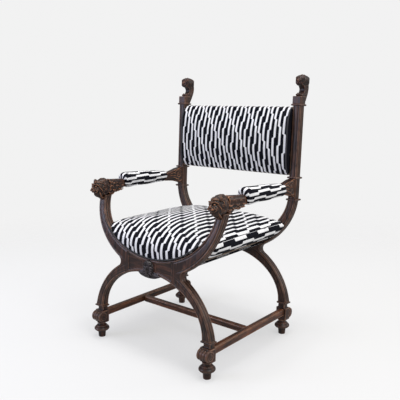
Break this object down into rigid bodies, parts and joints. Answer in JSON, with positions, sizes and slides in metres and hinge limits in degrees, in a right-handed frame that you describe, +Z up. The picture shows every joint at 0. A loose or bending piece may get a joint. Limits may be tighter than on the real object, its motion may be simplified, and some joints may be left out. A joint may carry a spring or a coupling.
{
  "type": "savonarola chair",
  "caption": "Carved walnut curule armchair with X-shaped frames, lion-head arms and finials, padded seat, back and arm rests, and an H-stretcher.",
  "frame": {"origin": "on the floor, in the middle of the chair's overall width and depth", "axes": "+Z up, -Y towards the chair's front, +X towards the sitter's left hand"},
  "size_m": [0.7358, 0.6802, 1.1377],
  "materials": {
    "walnut": "dark stained and waxed walnut",
    "rail_wood": "plain hidden hardwood",
    "cover_fabric": "black and white woven stripe",
    "gimp": "black braid",
    "stuffing": "curled hair and fibre",
    "webbing": "jute",
    "dust_cover": "black cambric"
  },
  "bodies": {
    "root": {"arm_dowels": "rail_wood", "arm_lion_head_left": "walnut", "arm_lion_head_right": "walnut", "arm_pad_cover_left": "cover_fabric", "arm_pad_cover_right": "cover_fabric", "arm_pad_stuffing_left": "stuffing", "arm_pad_stuffing_right": "stuffing", "arm_rail_left": "walnut", "arm_rail_right": "walnut", "back_bottom_rail": "rail_wood", "back_burlap": "webbing", "back_cover": "cover_fabric", "back_gimp": "gimp", "back_outer_cover": "cover_fabric", "back_rail_dowels": "rail_wood", "back_stuffing": "stuffing", "back_top_rail": "rail_wood", "back_webbing": "webbing", "cap_block_left": "walnut", "cap_block_right": "walnut", "cap_dowels": "rail_wood", "cross_stretcher": "walnut", "finial_left": "walnut", "finial_right": "walnut", "frame_dowels": "rail_wood", "front_arm_support_left": "walnut", "front_arm_support_right": "walnut", "front_centre_rail": "walnut", "front_leg_left": "walnut", "front_leg_right": "walnut", "front_turned_foot_left": "walnut", "front_turned_foot_right": "walnut", "leg_collars": "walnut", "lower_post_collars": "walnut", "mask_boss": "walnut", "middle_post_collars": "walnut", "rear_centre_rail": "walnut", "rear_leg_left": "walnut", "rear_leg_right": "walnut", "rear_post_left": "walnut", "rear_post_right": "walnut", "rear_turned_foot_left": "walnut", "rear_turned_foot_right": "walnut", "seat_bottom_board": "rail_wood", "seat_burlap": "webbing", "seat_cover": "cover_fabric", "seat_dust_cover": "dust_cover", "seat_gimp": "gimp", "seat_rail_dowels": "rail_wood", "seat_side_rail_left": "rail_wood", "seat_side_rail_right": "rail_wood", "seat_stuffing": "stuffing", "seat_webbing": "webbing", "side_stretcher_left": "walnut", "side_stretcher_right": "walnut", "stretcher_dowels": "rail_wood", "upper_post_collars": "walnut"}
  },
  "joints": []
}
